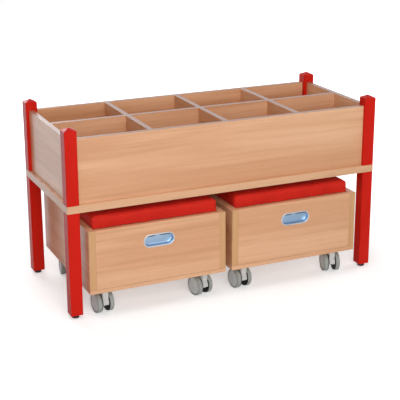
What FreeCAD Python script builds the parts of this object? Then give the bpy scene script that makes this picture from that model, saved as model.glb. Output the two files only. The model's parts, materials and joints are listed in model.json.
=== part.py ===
import FreeCAD, Part
import math
import os
import Sketcher

# Picture book browser bin: a divided trough on four square posts, with two castored seat boxes
# that roll out from under it. Millimetres. +X runs along the trough, +Y to its back, +Z up.
# The origin lies on the floor below the middle of the whole piece.

doc = FreeCAD.newDocument("BrowserBin")

driving_sizes = [
    # trough
    ("trough_length", 1240, "over the outer faces of the posts"),
    ("trough_depth", 520, "over the outer faces of the posts"),
    ("post_width", 45, "square posts and legs"),
    ("post_bevel", 1.5, "bevel on the upright edges of posts and legs"),
    ("leg_length", 382, "below the plate"),
    ("plate_thickness", 28, "plate between legs and posts"),
    ("plate_bevel", 1, "bevel round the plate"),
    ("post_height", 265, "straight part of a post above the plate"),
    ("cap_height", 11, "rise of the pyramid on a post"),
    ("cap_tip", 1, "width of the flat tip of the pyramid"),
    ("board_thickness", 19, "trough boards"),
    ("board_height", 235, "trough boards"),
    ("divider_thickness", 19, "boards that part the compartments"),
    ("slot_clearance", 0.3, "halving slots, over the thickness of a divider"),
    ("glide_height", 14, "floor to the underside of a leg"),
    ("glide_diameter", 28, "levelling glide"),
    ("glide_bevel", 1.5, "bevel round the sole of a glide"),
    ("spindle_diameter", 8, "spindle of a glide"),
    ("spindle_length", 32, "spindle inside the leg"),
    ("stud_diameter", 8, "stud through leg, plate and post"),
    ("stud_grip", 45, "length of a stud in the leg, and in the post"),
    ("tongue_thickness", 7, "tongue on the end of a trough board"),
    ("tongue_length", 8, "tongue in the groove of a post"),
    ("tongue_setback", 10, "top of a board to the top of its tongue"),
    ("tongue_clearance", 0.2, "tongue in its groove, over the thickness"),
    ("pin_clearance", 0.1, "over the diameter of a stud or spindle"),
    ("end_clearance", 1.5, "beyond the end of a stud, spindle, pin or tongue"),
    # seat boxes
    ("box_depth", 540, "outside, front to back"),
    ("seat_gap", 16, "cushion to the plate above it"),
    ("box_overhang", 36, "front of a parked box ahead of the trough"),
    ("left_gap", 16.5, "left leg to the left box"),
    ("box_gap", 25.5, "between the two boxes"),
    ("right_gap", 52, "right box to the right leg"),
    ("side_thickness", 25, "side panels of a box"),
    ("front_thickness", 19, "front and back panels of a box"),
    ("base_thickness", 16, "base board of a box"),
    ("side_rounding", 3, "radius on the outer edges of a side panel"),
    ("joint_bevel", 1.5, "bevel of the base board where the panels stand on it"),
    ("batten_width", 20, "battens that carry the seat"),
    ("batten_height", 20, "battens that carry the seat"),
    ("seat_drop", 17, "rim of the box to the top of the battens"),
    ("seat_board_thickness", 12, "board under the cushion"),
    ("seat_clearance", 1, "seat board to the panels, each side"),
    ("cushion_height", 50, "cushion on the seat board"),
    ("cushion_clearance", 2, "cushion to the panels, each side"),
    ("cushion_corner", 12, "radius of the cushion's upright corners"),
    ("cushion_bevel", 6, "bevel of the cushion's top edge"),
    # handle shell
    ("handle_length", 120, "over the flange"),
    ("handle_width", 50, "over the flange"),
    ("handle_drop", 67.5, "rim of the box to the middle of the handle"),
    ("flange_width", 4, "flange round the cup"),
    ("flange_proud", 1.5, "thickness of the flange"),
    ("flange_bevel", 0.8, "bevel of the flange"),
    ("cup_depth", 16, "cup behind the panel's front face"),
    ("cup_wall", 1, "wall of the cup"),
    ("cup_clearance", 0.4, "cup in its cut-out, over the width"),
    # casters
    ("caster_height", 100, "floor to the underside of the box"),
    ("caster_side_inset", 69, "side of the box to the swivel axis"),
    ("caster_end_inset", 50, "front or back of the box to the swivel axis"),
    ("caster_trail", 20, "swivel axis to the axle"),
    ("left_front_left_turn", 5, "degrees that this parked caster is swivelled, 0 trailing to the back"),
    ("left_front_right_turn", 13, "degrees, as above"),
    ("left_back_left_turn", 172, "degrees, as above"),
    ("left_back_right_turn", 186, "degrees, as above"),
    ("right_front_left_turn", 7, "degrees, as above"),
    ("right_front_right_turn", -13, "degrees, as above"),
    ("right_back_left_turn", 184, "degrees, as above"),
    ("right_back_right_turn", 177, "degrees, as above"),
    ("wheel_diameter", 75, "over the tread"),
    ("wheel_width", 19.5, "one wheel"),
    ("wheel_spacing", 25, "between the inner faces of a pair"),
    ("tread_bevel", 2.5, "bevel of the tread towards the outer face"),
    ("tyre_depth", 6, "tread to the edge of the disc"),
    ("disc_recess", 1.5, "disc behind the tyre's outer face"),
    ("axle_diameter", 8, "axle of a pair"),
    ("axle_grip", 15, "length of the axle in each wheel"),
    ("axle_clearance", 0.2, "axle in the housing, over the diameter"),
    ("hood_width", 22, "housing between the wheels"),
    ("hood_setback", 1.5, "hood inside the tread's radius"),
    ("hood_shell", 3, "thickness of the hood's arch"),
    ("hood_web", 6, "web in the middle of the hood"),
    ("hood_bottom", 36, "floor to the hood's front edge"),
    ("hood_tail_rise", 22, "rise of the hood's back edge over the axle"),
    ("hood_bevel", 1.5, "bevel along the arch"),
    ("hub_boss_diameter", 26, "boss round the axle"),
    ("neck_depth", 20, "neck of the housing, along the trail"),
    ("neck_bottom", 60, "floor to the foot of the neck"),
    ("neck_bevel", 3, "bevel across the top of the neck"),
    ("pin_diameter", 10, "swivel pin"),
    ("pin_collar_width", 17, "hexagon collar of the pin, across its flats"),
    ("pin_collar_height", 8, "hexagon collar of the pin"),
    ("pin_grip", 12, "length of the pin in the base board"),
    ("pin_reach", 24, "length of the pin in the neck"),
    ("swivel_clearance", 0.2, "pin in the neck, over the diameter"),
    ("swivel_gap", 0.3, "neck to the pin's collar"),
]

sheet = doc.addObject("Spreadsheet::Sheet", "Sizes")
for row, (alias, size, note) in enumerate(driving_sizes, start=1):
    sheet.set("A%d" % row, note)
    sheet.set("B%d" % row, str(size))
    sheet.setAlias("B%d" % row, alias)
doc.recompute()

# Places worked out from the driving sizes, as expressions of the sheet.
FRONT = "((Sizes.box_overhang + Sizes.flange_proud - Sizes.trough_depth) / 2)"
BACK = "(%s + Sizes.trough_depth)" % FRONT
LEFT = "(-Sizes.trough_length / 2)"
RIGHT = "(Sizes.trough_length / 2)"
LEG_FOOT = "Sizes.glide_height"
PLATE_BOTTOM = "(Sizes.glide_height + Sizes.leg_length)"
PLATE_TOP = "(%s + Sizes.plate_thickness)" % PLATE_BOTTOM
HALF_POST = "(Sizes.post_width / 2)"
BOARD_REACH = "((Sizes.post_width + Sizes.board_thickness) / 2)"
CLEAR_LENGTH = "(Sizes.trough_length - 2 * %s)" % BOARD_REACH
CLEAR_DEPTH = "(Sizes.trough_depth - 2 * %s)" % BOARD_REACH
LONG_BOARD = "(Sizes.trough_length - 2 * Sizes.post_width)"
SHORT_BOARD = "(Sizes.trough_depth - 2 * Sizes.post_width)"
TONGUE_HEIGHT = "(Sizes.board_height - Sizes.tongue_setback)"
BOX_FRONT = "(%s - Sizes.box_overhang)" % FRONT
BOX_GAPS = "(Sizes.left_gap + Sizes.box_gap + Sizes.right_gap)"
BOX_LENGTH = "((%s - %s) / 2)" % (LONG_BOARD, BOX_GAPS)
BOX_LEFT = {
    "left": "(%s + Sizes.post_width + Sizes.left_gap)" % LEFT,
    "right": "(%s - Sizes.post_width - Sizes.right_gap - %s)" % (RIGHT, BOX_LENGTH),
}
SEAT_HEIGHT = "(Sizes.seat_board_thickness + Sizes.cushion_height)"
BATTEN_TOP = "(%s - Sizes.seat_gap - %s)" % (PLATE_BOTTOM, SEAT_HEIGHT)
RIM = "(%s + Sizes.seat_drop)" % BATTEN_TOP
PANEL_FOOT = "(Sizes.caster_height + Sizes.base_thickness)"
PANEL_HEIGHT = "(%s - %s)" % (RIM, PANEL_FOOT)
INNER_LENGTH = "(%s - 2 * Sizes.side_thickness)" % BOX_LENGTH
INNER_DEPTH = "(Sizes.box_depth - 2 * Sizes.front_thickness)"
HANDLE_LEVEL = "(%s - Sizes.handle_drop)" % RIM
CUP_LENGTH = "(Sizes.handle_length - 2 * Sizes.flange_width)"
CUP_WIDTH = "(Sizes.handle_width - 2 * Sizes.flange_width)"
AXLE_LEVEL = "(Sizes.wheel_diameter / 2)"
HOOD_RADIUS = "(Sizes.wheel_diameter / 2 - Sizes.hood_setback)"
NECK_TOP = "(Sizes.caster_height - Sizes.pin_collar_height - Sizes.swivel_gap)"

# Corners of the trough: name, way to the middle along X and along Y, centre of the post.
CORNERS = [
    ("front_left", 1, 1, "%s + %s" % (LEFT, HALF_POST), "%s + %s" % (FRONT, HALF_POST)),
    ("front_right", -1, 1, "%s - %s" % (RIGHT, HALF_POST), "%s + %s" % (FRONT, HALF_POST)),
    ("back_left", 1, -1, "%s + %s" % (LEFT, HALF_POST), "%s - %s" % (BACK, HALF_POST)),
    ("back_right", -1, -1, "%s - %s" % (RIGHT, HALF_POST), "%s - %s" % (BACK, HALF_POST)),
]

nodes = []


def value(text):
    """The number that an expression of the sheet gives now."""
    return float(sheet.evalExpression(text))


def place(item, x="0", y="0", z="0", turn="0"):
    """Put an object at a bound position, turned by a bound angle about its own Z."""
    item.Placement = FreeCAD.Placement(FreeCAD.Vector(0, 0, 0),
                                       FreeCAD.Rotation(FreeCAD.Vector(0, 0, 1), value(turn)))
    item.setExpression("Placement.Rotation.Angle", turn)
    item.setExpression("Placement.Base.x", x)
    item.setExpression("Placement.Base.y", y)
    item.setExpression("Placement.Base.z", z)


def new_body(label, x="0", y="0", z="0", turn="0"):
    """An empty body of its own place."""
    body = doc.addObject("PartDesign::Body", label)
    body.Label = label
    place(body, x, y, z, turn)
    return body


def new_sketch(body, plane, lift="0"):
    """An empty sketch on one of the body's origin planes, lifted along the plane's normal."""
    sketch = body.newObject("Sketcher::SketchObject", "Sketch")
    support = [item for item in body.Origin.OriginFeatures if item.Role == plane]
    sketch.AttachmentSupport = [(support[0], "")]
    sketch.MapMode = "FlatFace"
    sketch.setExpression("AttachmentOffset.Base.z", lift)
    return sketch


def pin_point(sketch, geometry, point, x, y):
    """Hold a point of the sketch at bound distances from the sketch's origin."""
    for kind, text in (("DistanceX", x), ("DistanceY", y)):
        index = sketch.addConstraint(
            Sketcher.Constraint(kind, -1, 1, geometry, point, value(text)))
        sketch.setExpression("Constraints[%d]" % index, text)


def add_outline(sketch, corners):
    """A closed outline of straight lines through bound corners."""
    points = [FreeCAD.Vector(value(x), value(y), 0) for x, y in corners]
    first = sketch.GeometryCount
    count = len(corners)
    for index in range(count):
        sketch.addGeometry(Part.LineSegment(points[index], points[(index + 1) % count]))
    for index in range(count):
        following = first + (index + 1) % count
        sketch.addConstraint(Sketcher.Constraint("Coincident", first + index, 2, following, 1))
    for index, (x, y) in enumerate(corners):
        pin_point(sketch, first + index, 1, x, y)


def add_rectangle(sketch, left, bottom, length, width):
    """A rectangle from its lower left corner."""
    right = "%s + %s" % (left, length)
    top = "%s + %s" % (bottom, width)
    add_outline(sketch, [(left, bottom), (right, bottom), (right, top), (left, top)])


def add_circle(sketch, x, y, diameter):
    """A circle with a bound centre and diameter."""
    centre = FreeCAD.Vector(value(x), value(y), 0)
    circle = Part.Circle(centre, FreeCAD.Vector(0, 0, 1), value(diameter) / 2)
    geometry = sketch.addGeometry(circle)
    pin_point(sketch, geometry, 3, x, y)
    index = sketch.addConstraint(
        Sketcher.Constraint("Diameter", geometry, value(diameter)))
    sketch.setExpression("Constraints[%d]" % index, diameter)


def add_hexagon(sketch, flats):
    """A hexagon round the sketch's origin, by its width across the flats."""
    corner = "%s / sqrt(3)" % flats
    add_outline(sketch, [(corner, "0"), (corner + " / 2", "%s / 2" % flats),
                         ("-%s / 2" % corner, "%s / 2" % flats), ("-" + corner, "0"),
                         ("-%s / 2" % corner, "-%s / 2" % flats),
                         (corner + " / 2", "-%s / 2" % flats)])


def add_stadium(sketch, x, y, length, width):
    """A slot with round ends, lying along the sketch's X."""
    reach = "(%s - %s) / 2" % (length, width)
    radius = value(width) / 2
    upright = FreeCAD.Vector(0, 0, 1)
    left = FreeCAD.Vector(value("%s - %s" % (x, reach)), value(y), 0)
    right = FreeCAD.Vector(value("%s + %s" % (x, reach)), value(y), 0)
    rise = FreeCAD.Vector(0, radius, 0)
    left_end = sketch.addGeometry(Part.ArcOfCircle(
        Part.Circle(left, upright, radius), math.pi / 2, 3 * math.pi / 2))
    right_end = sketch.addGeometry(Part.ArcOfCircle(
        Part.Circle(right, upright, radius), -math.pi / 2, math.pi / 2))
    top = sketch.addGeometry(Part.LineSegment(left + rise, right + rise))
    bottom = sketch.addGeometry(Part.LineSegment(right - rise, left - rise))
    sketch.addConstraint(Sketcher.Constraint("Tangent", left_end, 1, top, 1))
    sketch.addConstraint(Sketcher.Constraint("Tangent", top, 2, right_end, 2))
    sketch.addConstraint(Sketcher.Constraint("Tangent", right_end, 1, bottom, 1))
    sketch.addConstraint(Sketcher.Constraint("Tangent", bottom, 2, left_end, 2))
    pin_point(sketch, left_end, 3, "%s - %s" % (x, reach), y)
    pin_point(sketch, right_end, 3, "%s + %s" % (x, reach), y)
    for end in (left_end, right_end):
        index = sketch.addConstraint(Sketcher.Constraint("Radius", end, radius))
        sketch.setExpression("Constraints[%d]" % index, "%s / 2" % width)


def pad(body, sketch, length, side="One side", reverse=False):
    """Grow the body by a sketch."""
    feature = body.newObject("PartDesign::Pad", "Pad")
    feature.Profile = sketch
    feature.SideType = side
    feature.Reversed = reverse
    feature.setExpression("Length", length)
    doc.recompute()
    return feature


def cut(body, sketch, depth, side="One side", reverse=False):
    """Cut a sketch out of the body, and make sure that it took material away."""
    before = body.Shape.Volume
    feature = body.newObject("PartDesign::Pocket", "Pocket")
    feature.Profile = sketch
    feature.SideType = side
    feature.Reversed = reverse
    feature.setExpression("Length", depth)
    doc.recompute()
    if body.Shape.Volume >= before:
        raise RuntimeError("a pocket of %s cuts nothing" % body.Label)
    return feature


def edges_where(body, test):
    """Names of the tip's edges whose box, in the body's own frame, passes a test."""
    shape = body.Tip.Shape
    return ["Edge%d" % (index + 1) for index, edge in enumerate(shape.Edges)
            if test(edge.BoundBox)]


def dress(body, kind, edges, size, second=None):
    """Fillet or chamfer edges of the body's tip."""
    base = body.Tip
    feature = body.newObject("PartDesign::" + kind, kind)
    feature.Base = (base, edges)
    feature.setExpression("Radius" if kind == "Fillet" else "Size", size)
    if second:
        feature.ChamferType = "Two distances"
        feature.setExpression("Size2", second)
    doc.recompute()
    return feature


def is_upright(box):
    """True of a straight edge that stands along Z."""
    return box.XLength < 1e-4 and box.YLength < 1e-4


def near(first, second):
    """True of two lengths that are the same to a hundredth."""
    return abs(first - second) < 0.01


def group(label, members):
    """One node of several separate solids."""
    compound = doc.addObject("Part::Compound", label)
    compound.Label = label
    compound.Links = members
    nodes.append(compound)
    return compound


def cylinder(label, radius, height, x, y, z):
    """A bound upright cylinder."""
    item = doc.addObject("Part::Cylinder", label)
    item.Label = label
    item.setExpression("Radius", radius)
    item.setExpression("Height", height)
    place(item, x, y, z)
    return item


# ---------------------------------------------------------------- trough

def square_post(label, x, y, z, height):
    """A square post on the middle of its own origin."""
    body = new_body(label, x, y, z)
    sketch = new_sketch(body, "XY_Plane")
    add_rectangle(sketch, "-" + HALF_POST, "-" + HALF_POST, "Sizes.post_width", "Sizes.post_width")
    pad(body, sketch, height)
    return body


def build_leg(corner, x, y):
    """A leg with the glide's hole in its foot and the stud's hole in its head."""
    body = square_post("leg_" + corner, x, y, LEG_FOOT, "Sizes.leg_length")
    dress(body, "Chamfer", edges_where(body, is_upright), "Sizes.post_bevel")
    foot = new_sketch(body, "XY_Plane")
    add_circle(foot, "0", "0", "Sizes.spindle_diameter + Sizes.pin_clearance")
    cut(body, foot, "Sizes.spindle_length + Sizes.end_clearance", reverse=True)
    head = new_sketch(body, "XY_Plane", "Sizes.leg_length")
    add_circle(head, "0", "0", "Sizes.stud_diameter + Sizes.pin_clearance")
    cut(body, head, "Sizes.stud_grip + Sizes.end_clearance")
    nodes.append(body)


def build_post(corner, toward_x, toward_y, x, y):
    """An upper post with its pyramid, the stud's hole and the grooves of two boards."""
    full_height = "Sizes.post_height + Sizes.cap_height"
    body = square_post("post_" + corner, x, y, PLATE_TOP, full_height)
    crown = value(full_height)
    rim = edges_where(body, lambda box: near(box.ZMin, crown) and near(box.ZMax, crown))
    dress(body, "Chamfer", rim, "Sizes.cap_height", "(Sizes.post_width - Sizes.cap_tip) / 2")
    dress(body, "Chamfer", edges_where(body, is_upright), "Sizes.post_bevel")
    foot = new_sketch(body, "XY_Plane")
    add_circle(foot, "0", "0", "Sizes.stud_diameter + Sizes.pin_clearance")
    cut(body, foot, "Sizes.stud_grip + Sizes.end_clearance", reverse=True)
    # The YZ plane faces +X and the XZ plane faces -Y.
    for plane, toward in (("YZ_Plane", toward_x), ("XZ_Plane", -toward_y)):
        side = new_sketch(body, plane, "%d * %s" % (toward, HALF_POST))
        width = "(Sizes.tongue_thickness + Sizes.tongue_clearance)"
        add_rectangle(side, "-%s / 2" % width, "0", width, TONGUE_HEIGHT)
        cut(body, side, "Sizes.tongue_length + Sizes.end_clearance", reverse=toward < 0)
    nodes.append(body)


def build_board(label, length, x, y, turn):
    """An outer board of the trough, tongued into two posts, modelled along its own X."""
    body = new_body(label, x, y, PLATE_TOP, turn)
    sketch = new_sketch(body, "XY_Plane")
    add_rectangle(sketch, "0", "-Sizes.board_thickness / 2", length, "Sizes.board_thickness")
    pad(body, sketch, "Sizes.board_height")
    for lift, reverse in (("0", True), (length, False)):
        end = new_sketch(body, "YZ_Plane", lift)
        add_rectangle(end, "-Sizes.tongue_thickness / 2", "0", "Sizes.tongue_thickness", TONGUE_HEIGHT)
        pad(body, end, "Sizes.tongue_length", reverse=reverse)
    nodes.append(body)


def build_plate():
    """The plate that the boards stand on, drilled for the four studs."""
    body = new_body("base_plate", "0", "%s + Sizes.trough_depth / 2" % FRONT, PLATE_BOTTOM)
    sketch = new_sketch(body, "XY_Plane")
    add_rectangle(sketch, LEFT, "-Sizes.trough_depth / 2", "Sizes.trough_length", "Sizes.trough_depth")
    pad(body, sketch, "Sizes.plate_thickness")
    rims = edges_where(body, lambda box: box.ZLength < 1e-4)
    dress(body, "Chamfer", rims, "Sizes.plate_bevel")
    holes = new_sketch(body, "XY_Plane")
    inset_x = "(Sizes.trough_length / 2 - %s)" % HALF_POST
    inset_y = "(Sizes.trough_depth / 2 - %s)" % HALF_POST
    for x in ("-" + inset_x, inset_x):
        for y in ("-" + inset_y, inset_y):
            add_circle(holes, x, y, "Sizes.stud_diameter + Sizes.pin_clearance")
    cut(body, holes, "Sizes.plate_thickness", reverse=True)
    nodes.append(body)


def slotted_board(label, length, slot_centres, from_top, x, y, turn):
    """A divider with halving slots from its top or its bottom edge, modelled along its own X."""
    body = new_body(label, x, y, PLATE_TOP, turn)
    half_slot = "(Sizes.divider_thickness + Sizes.slot_clearance) / 2"
    open_edge = "Sizes.board_height" if from_top else "0"
    shut_edge = "0" if from_top else "Sizes.board_height"
    corners = [("0", shut_edge), ("0", open_edge)]
    for centre in slot_centres:
        near_side = "%s - %s" % (centre, half_slot)
        far_side = "%s + %s" % (centre, half_slot)
        corners += [(near_side, open_edge), (near_side, "Sizes.board_height / 2"),
                    (far_side, "Sizes.board_height / 2"), (far_side, open_edge)]
    corners += [(length, open_edge), (length, shut_edge)]
    sketch = new_sketch(body, "XZ_Plane")
    add_outline(sketch, corners)
    pad(body, sketch, "Sizes.divider_thickness", side="Symmetric")
    nodes.append(body)


def build_dividers():
    """The long divider and the three cross dividers halved into it: eight equal places."""
    quarters = ["%s * %d / 4" % (CLEAR_LENGTH, step) for step in (1, 2, 3)]
    inner_left = "%s + %s" % (LEFT, BOARD_REACH)
    inner_front = "%s + %s" % (FRONT, BOARD_REACH)
    middle = "%s + Sizes.trough_depth / 2" % FRONT
    slotted_board("long_divider", CLEAR_LENGTH, quarters, True, inner_left, middle, "0")
    for name, quarter in zip(("left", "middle", "right"), quarters):
        slotted_board("cross_divider_" + name, CLEAR_DEPTH, ["%s / 2" % CLEAR_DEPTH], False,
                      "%s + %s" % (inner_left, quarter), inner_front, "90")


def build_glides():
    """Four levelling glides, each a turned foot with its spindle."""
    radius = "Sizes.glide_diameter / 2"
    spindle = "Sizes.spindle_diameter / 2"
    spindle_top = "Sizes.glide_height + Sizes.spindle_length"
    profile = [
        ("0", "0"),
        (radius + " - Sizes.glide_bevel", "0"),
        (radius, "Sizes.glide_bevel"),
        (radius, "Sizes.glide_height"),
        (spindle, "Sizes.glide_height"),
        (spindle, spindle_top),
        ("0", spindle_top),
    ]
    members = []
    for corner, toward_x, toward_y, x, y in CORNERS:
        body = new_body("glide_" + corner, x, y)
        sketch = new_sketch(body, "XZ_Plane")
        add_outline(sketch, profile)
        turned = body.newObject("PartDesign::Revolution", "Turned")
        turned.Profile = sketch
        turned.ReferenceAxis = (sketch, ["V_Axis"])
        turned.Angle = 360
        doc.recompute()
        members.append(body)
    group("levelling_glides", members)


def build_studs():
    """Four studs, each through a leg, the plate and an upper post."""
    members = []
    for corner, toward_x, toward_y, x, y in CORNERS:
        members.append(cylinder("stud_" + corner, "Sizes.stud_diameter / 2",
                                "Sizes.plate_thickness + 2 * Sizes.stud_grip",
                                x, y, "%s - Sizes.stud_grip" % PLATE_BOTTOM))
    group("joining_studs", members)


def build_trough():
    """Everything that stands still."""
    build_plate()
    for corner, toward_x, toward_y, x, y in CORNERS:
        build_leg(corner, x, y)
        build_post(corner, toward_x, toward_y, x, y)
    board_left = "%s + Sizes.post_width" % LEFT
    board_front = "%s + Sizes.post_width" % FRONT
    build_board("front_board", LONG_BOARD, board_left, "%s + %s" % (FRONT, HALF_POST), "0")
    build_board("back_board", LONG_BOARD, board_left, "%s - %s" % (BACK, HALF_POST), "0")
    build_board("left_side_board", SHORT_BOARD, "%s + %s" % (LEFT, HALF_POST), board_front, "90")
    build_board("right_side_board", SHORT_BOARD, "%s - %s" % (RIGHT, HALF_POST), board_front, "90")
    build_dividers()
    build_glides()
    build_studs()


# ---------------------------------------------------------------- seat boxes

def caster_places(side):
    """Swivel axes of a box's casters: name, turn of the parked caster, x and y."""
    near_x = "%s + Sizes.caster_side_inset" % BOX_LEFT[side]
    far_x = "%s + %s - Sizes.caster_side_inset" % (BOX_LEFT[side], BOX_LENGTH)
    near_y = "%s + Sizes.caster_end_inset" % BOX_FRONT
    far_y = "%s + Sizes.box_depth - Sizes.caster_end_inset" % BOX_FRONT
    places = [("front_left", near_x, near_y), ("front_right", far_x, near_y),
              ("back_left", near_x, far_y), ("back_right", far_x, far_y)]
    return [(name, "Sizes.%s_%s_turn" % (side, name), x, y) for name, x, y in places]


def build_box_base(side):
    """The base board, drilled from below for the four swivel pins."""
    body = new_body(side + "_box_base_board", BOX_LEFT[side], BOX_FRONT, "Sizes.caster_height")
    sketch = new_sketch(body, "XY_Plane")
    add_rectangle(sketch, "0", "0", BOX_LENGTH, "Sizes.box_depth")
    pad(body, sketch, "Sizes.base_thickness")
    dress(body, "Fillet", edges_where(body, is_upright), "Sizes.side_rounding")
    top = value("Sizes.base_thickness")
    rim = edges_where(body, lambda box: near(box.ZMin, top) and near(box.ZMax, top))
    dress(body, "Chamfer", rim, "Sizes.joint_bevel")
    holes = new_sketch(body, "XY_Plane")
    for name, turn, x, y in caster_places(side):
        add_circle(holes, "%s - %s" % (x, BOX_LEFT[side]), "%s - %s" % (y, BOX_FRONT),
                   "Sizes.pin_diameter + Sizes.pin_clearance")
    cut(body, holes, "Sizes.pin_grip + Sizes.end_clearance", reverse=True)
    nodes.append(body)


def build_side_panel(side, hand):
    """A side panel, rounded along its outer upright edges and its outer top edge."""
    x = BOX_LEFT[side]
    if hand == "right":
        x = "%s + %s - Sizes.side_thickness" % (x, BOX_LENGTH)
    body = new_body("%s_box_%s_panel" % (side, hand), x, BOX_FRONT, PANEL_FOOT)
    sketch = new_sketch(body, "XY_Plane")
    add_rectangle(sketch, "0", "0", "Sizes.side_thickness", "Sizes.box_depth")
    pad(body, sketch, PANEL_HEIGHT)
    outer = 0 if hand == "left" else value("Sizes.side_thickness")
    crown = value(PANEL_HEIGHT)

    def is_outer(box):
        on_outside = near(box.XMin, outer) and near(box.XMax, outer)
        return on_outside and (is_upright(box) or near(box.ZMin, crown))

    dress(body, "Fillet", edges_where(body, is_outer), "Sizes.side_rounding")
    nodes.append(body)


def build_end_panel(side, end):
    """The front or back panel between the sides; the front one has the handle's cut-out."""
    y = BOX_FRONT
    if end == "back":
        y = "%s + Sizes.box_depth - Sizes.front_thickness" % y
    body = new_body("%s_box_%s_panel" % (side, end),
                    "%s + Sizes.side_thickness" % BOX_LEFT[side], y, PANEL_FOOT)
    sketch = new_sketch(body, "XY_Plane")
    add_rectangle(sketch, "0", "0", INNER_LENGTH, "Sizes.front_thickness")
    pad(body, sketch, PANEL_HEIGHT)
    if end == "front":
        opening = new_sketch(body, "XZ_Plane")
        add_stadium(opening, "%s / 2" % INNER_LENGTH, "%s - %s" % (HANDLE_LEVEL, PANEL_FOOT),
                    "(%s + Sizes.cup_clearance)" % CUP_LENGTH,
                    "(%s + Sizes.cup_clearance)" % CUP_WIDTH)
        cut(body, opening, "Sizes.front_thickness")
    nodes.append(body)


def build_handle_shell(side):
    """A pressed oval cup with a flange that laps over the panel's cut-out."""
    body = new_body(side + "_handle_shell", "%s + %s / 2" % (BOX_LEFT[side], BOX_LENGTH),
                    BOX_FRONT, HANDLE_LEVEL)
    flange = new_sketch(body, "XZ_Plane")
    add_stadium(flange, "0", "0", "Sizes.handle_length", "Sizes.handle_width")
    pad(body, flange, "Sizes.flange_proud")
    front = -value("Sizes.flange_proud")
    rim = edges_where(body, lambda box: near(box.YMin, front) and near(box.YMax, front))
    dress(body, "Chamfer", rim, "Sizes.flange_bevel")
    cup = new_sketch(body, "XZ_Plane")
    add_stadium(cup, "0", "0", CUP_LENGTH, CUP_WIDTH)
    pad(body, cup, "Sizes.cup_depth", reverse=True)
    hollow = new_sketch(body, "XZ_Plane", "Sizes.flange_proud")
    add_stadium(hollow, "0", "0", "(%s - 2 * Sizes.cup_wall)" % CUP_LENGTH,
                "(%s - 2 * Sizes.cup_wall)" % CUP_WIDTH)
    cut(body, hollow, "Sizes.flange_proud + Sizes.cup_depth - Sizes.cup_wall")
    nodes.append(body)


def build_battens(side):
    """Four battens inside the rim that carry the seat board."""
    inner_x = "%s + Sizes.side_thickness" % BOX_LEFT[side]
    inner_y = "%s + Sizes.front_thickness" % BOX_FRONT
    far_x = "%s + %s - Sizes.batten_width" % (inner_x, INNER_LENGTH)
    far_y = "%s + %s - Sizes.batten_width" % (inner_y, INNER_DEPTH)
    between = "%s - 2 * Sizes.batten_width" % INNER_LENGTH
    layout = [
        ("left", "Sizes.batten_width", INNER_DEPTH, inner_x, inner_y),
        ("right", "Sizes.batten_width", INNER_DEPTH, far_x, inner_y),
        ("front", between, "Sizes.batten_width", "%s + Sizes.batten_width" % inner_x, inner_y),
        ("back", between, "Sizes.batten_width", "%s + Sizes.batten_width" % inner_x, far_y),
    ]
    members = []
    for name, length, width, x, y in layout:
        batten = doc.addObject("Part::Box", "%s_batten_%s" % (side, name))
        batten.setExpression("Length", length)
        batten.setExpression("Width", width)
        batten.setExpression("Height", "Sizes.batten_height")
        place(batten, x, y, "%s - Sizes.batten_height" % BATTEN_TOP)
        members.append(batten)
    group(side + "_seat_battens", members)


def seat_slab(label, side, clearance, z, height):
    """A slab that fills the box's opening up to a clearance, on its own middle."""
    body = new_body(label, "%s + %s / 2" % (BOX_LEFT[side], BOX_LENGTH),
                    "%s + Sizes.box_depth / 2" % BOX_FRONT, z)
    length = "(%s - 2 * %s)" % (INNER_LENGTH, clearance)
    width = "(%s - 2 * %s)" % (INNER_DEPTH, clearance)
    sketch = new_sketch(body, "XY_Plane")
    add_rectangle(sketch, "-%s / 2" % length, "-%s / 2" % width, length, width)
    pad(body, sketch, height)
    return body


def build_seat(side):
    """The seat board and the cushion on it."""
    board = seat_slab(side + "_seat_board", side, "Sizes.seat_clearance", BATTEN_TOP,
                      "Sizes.seat_board_thickness")
    nodes.append(board)
    cushion = seat_slab(side + "_seat_cushion", side, "Sizes.cushion_clearance",
                        "%s + Sizes.seat_board_thickness" % BATTEN_TOP, "Sizes.cushion_height")
    dress(cushion, "Fillet", edges_where(cushion, is_upright), "Sizes.cushion_corner")
    crown = value("Sizes.cushion_height")
    top_edges = edges_where(cushion, lambda box: near(box.ZMin, crown) and near(box.ZMax, crown))
    dress(cushion, "Chamfer", top_edges, "Sizes.cushion_bevel")
    nodes.append(cushion)


def build_box(side):
    """One seat box with its seat and casters."""
    build_box_base(side)
    build_side_panel(side, "left")
    build_side_panel(side, "right")
    build_end_panel(side, "front")
    build_end_panel(side, "back")
    build_handle_shell(side)
    build_battens(side)
    build_seat(side)
    build_pins(side)
    for name, turn, x, y in caster_places(side):
        build_housing("%s_caster_%s" % (side, name), x, y, turn)
        build_wheels("%s_wheels_%s" % (side, name), x, y, turn)


# ---------------------------------------------------------------- casters

def build_pins(side):
    """The four swivel pins of a box: a round pin through a hexagon collar under the base board."""
    members = []
    for name, turn, x, y in caster_places(side):
        body = new_body("%s_pin_%s" % (side, name), x, y, "%s + Sizes.swivel_gap" % NECK_TOP)
        collar = new_sketch(body, "XY_Plane")
        add_hexagon(collar, "Sizes.pin_collar_width")
        pad(body, collar, "Sizes.pin_collar_height")
        lower = new_sketch(body, "XY_Plane")
        add_circle(lower, "0", "0", "Sizes.pin_diameter")
        pad(body, lower, "Sizes.swivel_gap + Sizes.pin_reach", reverse=True)
        upper = new_sketch(body, "XY_Plane", "Sizes.pin_collar_height")
        add_circle(upper, "0", "0", "Sizes.pin_diameter")
        pad(body, upper, "Sizes.pin_grip")
        members.append(body)
    group(side + "_caster_pins", members)


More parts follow.
